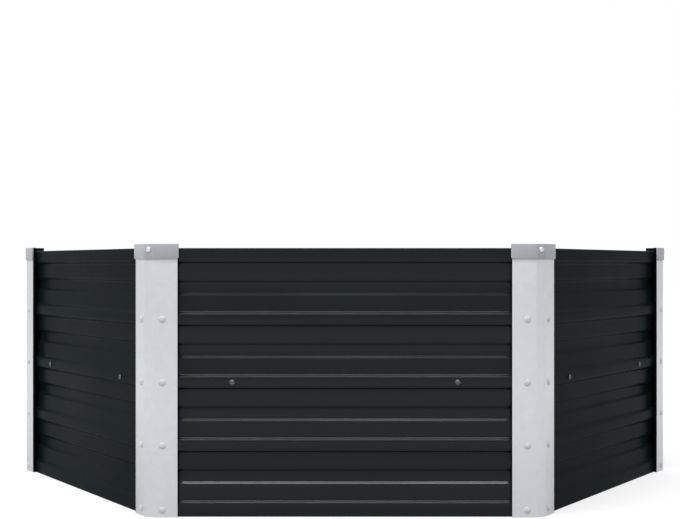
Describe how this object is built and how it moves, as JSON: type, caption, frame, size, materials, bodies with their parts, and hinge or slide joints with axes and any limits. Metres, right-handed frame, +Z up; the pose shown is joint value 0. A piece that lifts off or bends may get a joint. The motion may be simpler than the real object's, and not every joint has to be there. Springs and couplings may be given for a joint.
{
  "type": "raised garden bed",
  "caption": "Hexagonal bottomless raised planting bed of ribbed steel panels bolted between bevelled galvanised corner posts with caps.",
  "frame": {"origin": "on the ground under the centre of the bed", "axes": "+Z up, +X from the centre to one corner post, so that two sides face +Y and -Y"},
  "size_m": [1.3002, 1.132, 0.45],
  "materials": {
    "panel_paint": "smooth satin anthracite powder coat on ribbed sheet",
    "galvanised_steel": "matt hot-dip galvanised steel with a faint spangle",
    "black_plastic": "black extruded plastic",
    "grey_plastic": "light grey moulded plastic, lightly textured",
    "zinc_plate": "bright zinc plating"
  },
  "bodies": {
    "root": {"side_panel_1": "panel_paint", "side_panel_2": "panel_paint", "side_panel_3": "panel_paint", "side_panel_4": "panel_paint", "side_panel_5": "panel_paint", "side_panel_6": "panel_paint", "corner_post_1": "galvanised_steel", "corner_post_2": "galvanised_steel", "corner_post_3": "galvanised_steel", "corner_post_4": "galvanised_steel", "corner_post_5": "galvanised_steel", "corner_post_6": "galvanised_steel", "corner_channel_1": "black_plastic", "corner_channel_2": "black_plastic", "corner_channel_3": "black_plastic", "corner_channel_4": "black_plastic", "corner_channel_5": "black_plastic", "corner_channel_6": "black_plastic", "corner_cap_1": "grey_plastic", "corner_cap_2": "grey_plastic", "corner_cap_3": "grey_plastic", "corner_cap_4": "grey_plastic", "corner_cap_5": "grey_plastic", "corner_cap_6": "grey_plastic", "cap_screw_1": "zinc_plate", "cap_screw_2": "zinc_plate", "cap_screw_3": "zinc_plate", "cap_screw_4": "zinc_plate", "cap_screw_5": "zinc_plate", "cap_screw_6": "zinc_plate", "corner_brace_1": "galvanised_steel", "corner_brace_2": "galvanised_steel", "corner_brace_3": "galvanised_steel", "corner_brace_4": "galvanised_steel", "corner_brace_5": "galvanised_steel", "corner_brace_6": "galvanised_steel", "brace_screw_a_1": "zinc_plate", "brace_screw_a_2": "zinc_plate", "brace_screw_a_3": "zinc_plate", "brace_screw_a_4": "zinc_plate", "brace_screw_a_5": "zinc_plate", "brace_screw_a_6": "zinc_plate", "brace_screw_b_1": "zinc_plate", "brace_screw_b_2": "zinc_plate", "brace_screw_b_3": "zinc_plate", "brace_screw_b_4": "zinc_plate", "brace_screw_b_5": "zinc_plate", "brace_screw_b_6": "zinc_plate", "brace_nut_a_1": "zinc_plate", "brace_nut_a_2": "zinc_plate", "brace_nut_a_3": "zinc_plate", "brace_nut_a_4": "zinc_plate", "brace_nut_a_5": "zinc_plate", "brace_nut_a_6": "zinc_plate", "brace_nut_b_1": "zinc_plate", "brace_nut_b_2": "zinc_plate", "brace_nut_b_3": "zinc_plate", "brace_nut_b_4": "zinc_plate", "brace_nut_b_5": "zinc_plate", "brace_nut_b_6": "zinc_plate"}
  },
  "joints": []
}
